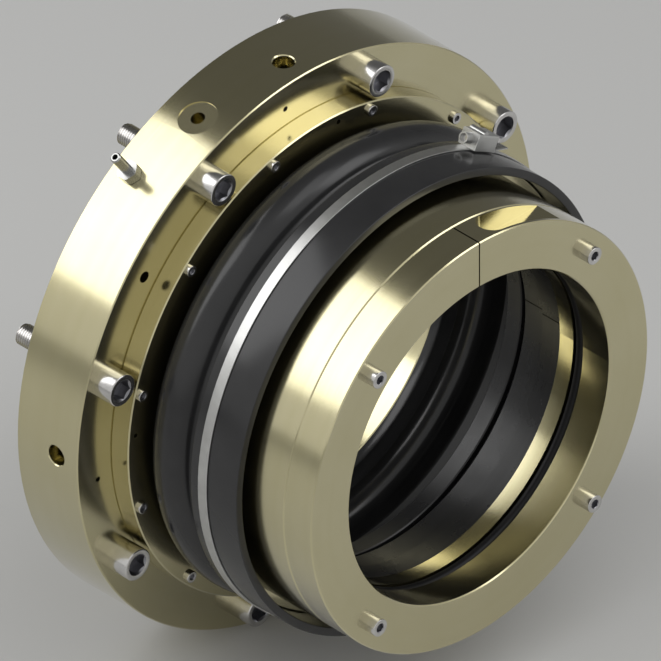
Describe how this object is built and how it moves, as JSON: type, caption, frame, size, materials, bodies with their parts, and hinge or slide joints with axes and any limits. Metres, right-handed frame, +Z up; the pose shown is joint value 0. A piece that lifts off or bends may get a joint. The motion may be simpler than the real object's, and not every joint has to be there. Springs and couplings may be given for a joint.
{
  "type": "stern tube seal",
  "caption": "Face seal for a ship's stern tube: bronze mounting ring, rubber bellows with stationary face, and split-seat bronze drum clamped on the shaft.",
  "frame": {"origin": "centre of the mounting screws' circle at the back face of the mounting ring, on the shaft's axis", "axes": "+X along the shaft from the stern tube towards the engine room, +Z up, +Y to the left when looking along +X"},
  "size_m": [0.2558, 0.438, 0.438],
  "materials": {
    "bronze": "fine turned, semi-polished",
    "stainless": "bright",
    "rubber": "smooth moulded, semi-gloss",
    "face_composite": "turned, dull"
  },
  "bodies": {
    "mounting": {"mounting_ring": "bronze", "mounting_oring": "rubber", "mounting_screws": "stainless", "inflatable_seal": "rubber", "air_nipple": "stainless", "bellows_clamp_ring": "bronze", "clamp_ring_screws": "stainless"},
    "face_unit": {"bellows": "rubber", "face_carrier": "bronze", "face_ring": "face_composite", "face_ring_oring": "rubber", "face_ring_pins": "stainless", "clamp_band": "stainless", "worm_housing": "stainless"},
    "worm": {"worm_screw": "stainless"},
    "rotor": {"seat_housing": "bronze", "seat_ring_upper": "face_composite", "seat_ring_lower": "face_composite", "seat_oring": "rubber", "seat_pins": "stainless", "shaft_oring": "rubber", "shaft_clamp_ring": "bronze", "pinch_screw": "stainless", "drive_screws": "stainless"}
  },
  "joints": [
    {"name": "axial_float", "type": "slide", "parent": "mounting", "child": "face_unit", "axis": [1, 0, 0], "range_m": [-0.004, 0.004], "stiffness_N_per_m": 60000, "deforming": ["bellows"]},
    {"name": "shaft_turn", "type": "hinge", "parent": "face_unit", "child": "rotor", "pos_m": [0.1342, 0, 0], "axis": [1, 0, 0], "continuous": true},
    {"name": "worm_turn", "type": "hinge", "parent": "face_unit", "child": "worm", "pos_m": [0.13476, 0.09105, 0.1577], "axis": [0, 0.866, -0.5], "continuous": true}
  ]
}
